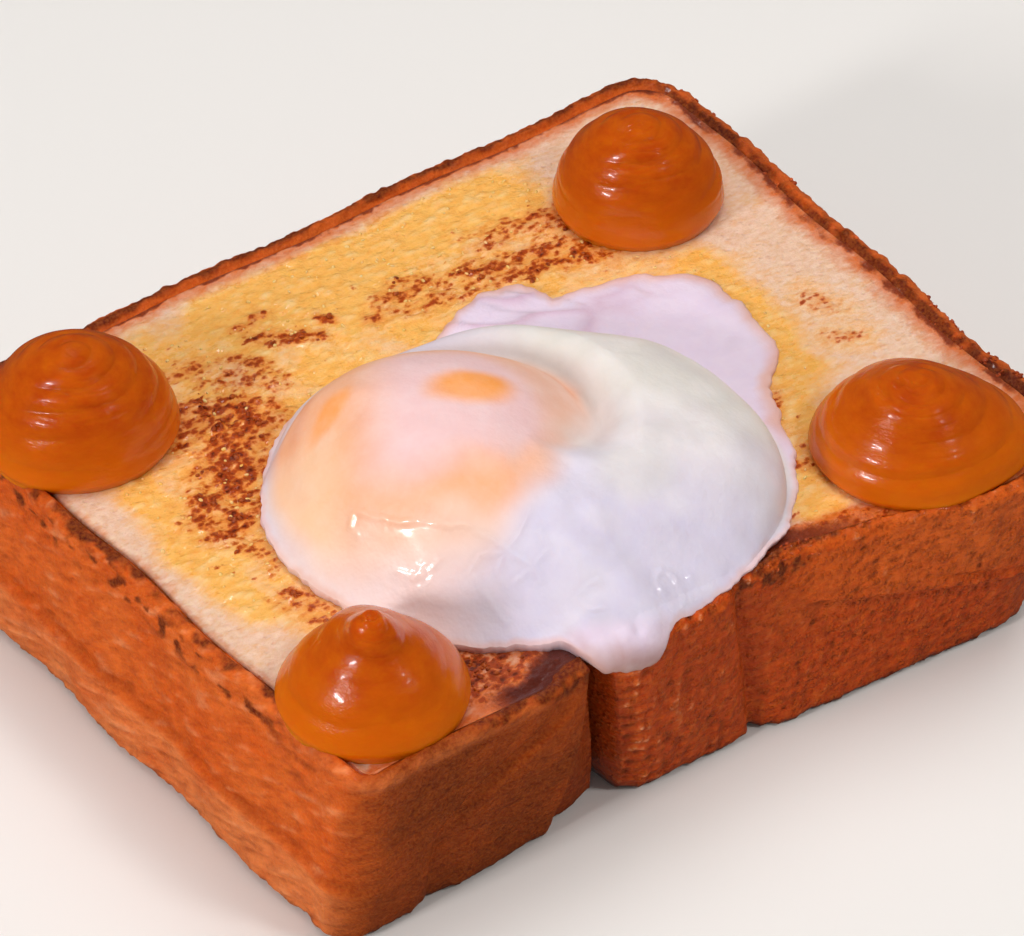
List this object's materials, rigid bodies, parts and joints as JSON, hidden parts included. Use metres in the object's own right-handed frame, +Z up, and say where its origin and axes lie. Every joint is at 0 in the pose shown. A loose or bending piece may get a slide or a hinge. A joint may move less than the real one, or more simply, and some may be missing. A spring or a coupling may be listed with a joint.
{
  "type": "kaya toast",
  "caption": "Thick slice of toasted split-top bread with a soft poached egg, its yolk showing, and a piped mound of kaya jam on each corner; prepared food that lies flat",
  "frame": {"origin": "centre of the part's bounding box in plan, on the surface that the slice lies on", "axes": "+Z up through the thickness of the slice; +Y along the slice's long side; +X towards the loaf's top crust, which has the split"},
  "size_m": [0.1035, 0.127, 0.0436],
  "materials": {
    "toast": "baked crust, dry and finely wrinkled; toasted crumb, open and buttery",
    "egg_white": "soft set egg white, wet and translucent",
    "egg_yolk": "liquid yolk under a thin skin of white, wet",
    "kaya": "smooth caramel coconut jam, wet and slightly translucent"
  },
  "bodies": {
    "root": {"toast": "toast", "egg_white": "egg_white", "egg_yolk": "egg_yolk", "kaya_front": "kaya", "kaya_left": "kaya", "kaya_back": "kaya", "kaya_right": "kaya"}
  },
  "joints": []
}
